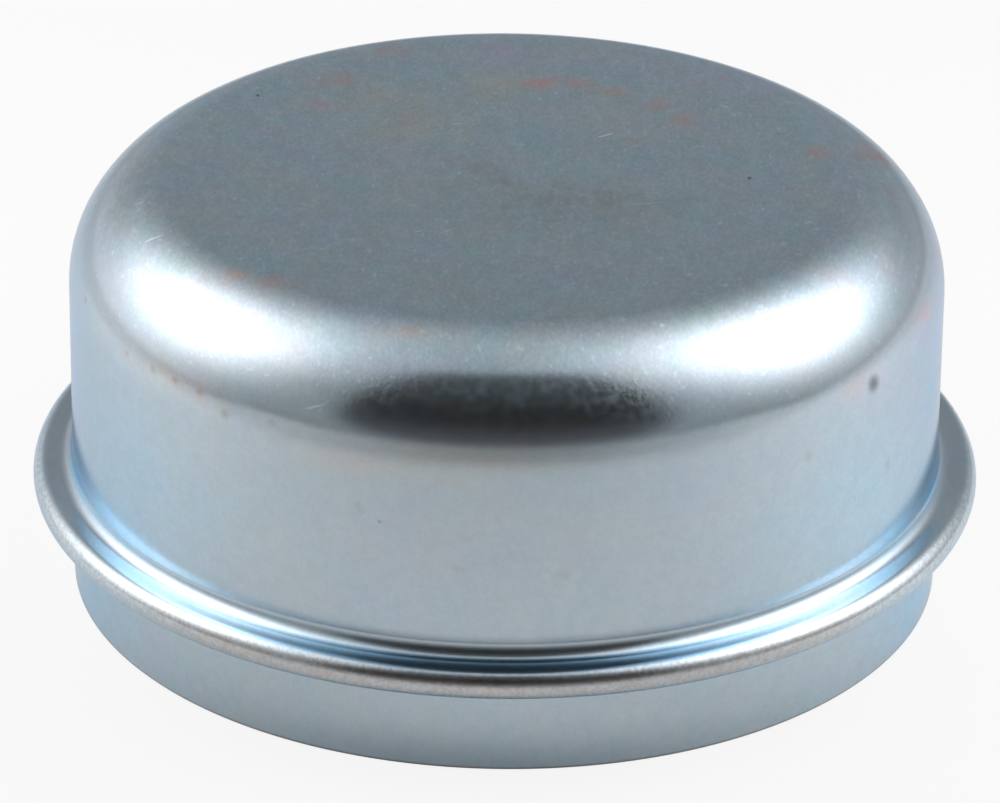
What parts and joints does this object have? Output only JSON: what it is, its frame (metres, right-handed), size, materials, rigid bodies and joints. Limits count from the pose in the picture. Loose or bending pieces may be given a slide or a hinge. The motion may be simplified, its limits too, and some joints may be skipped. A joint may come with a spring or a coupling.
{
  "type": "hub grease cap",
  "caption": "Round pressed-steel grease cap: a shallow flat-topped cup with a folded flange and a plain spigot that drives into a wheel hub to keep grease in and dirt out.",
  "frame": {"origin": "centre of the spigot's open end, in the plane of its rim, which the cap stands on", "axes": "+Z along the cap's axis, from the open end to the closed crown"},
  "size_m": [0.0676, 0.0676, 0.0304],
  "materials": {
    "zinc_plated_steel": "bright zinc plate with a clear blue chromate, slightly mottled, with faint stains"
  },
  "bodies": {
    "root": {"grease_cap": "zinc_plated_steel"}
  },
  "joints": []
}
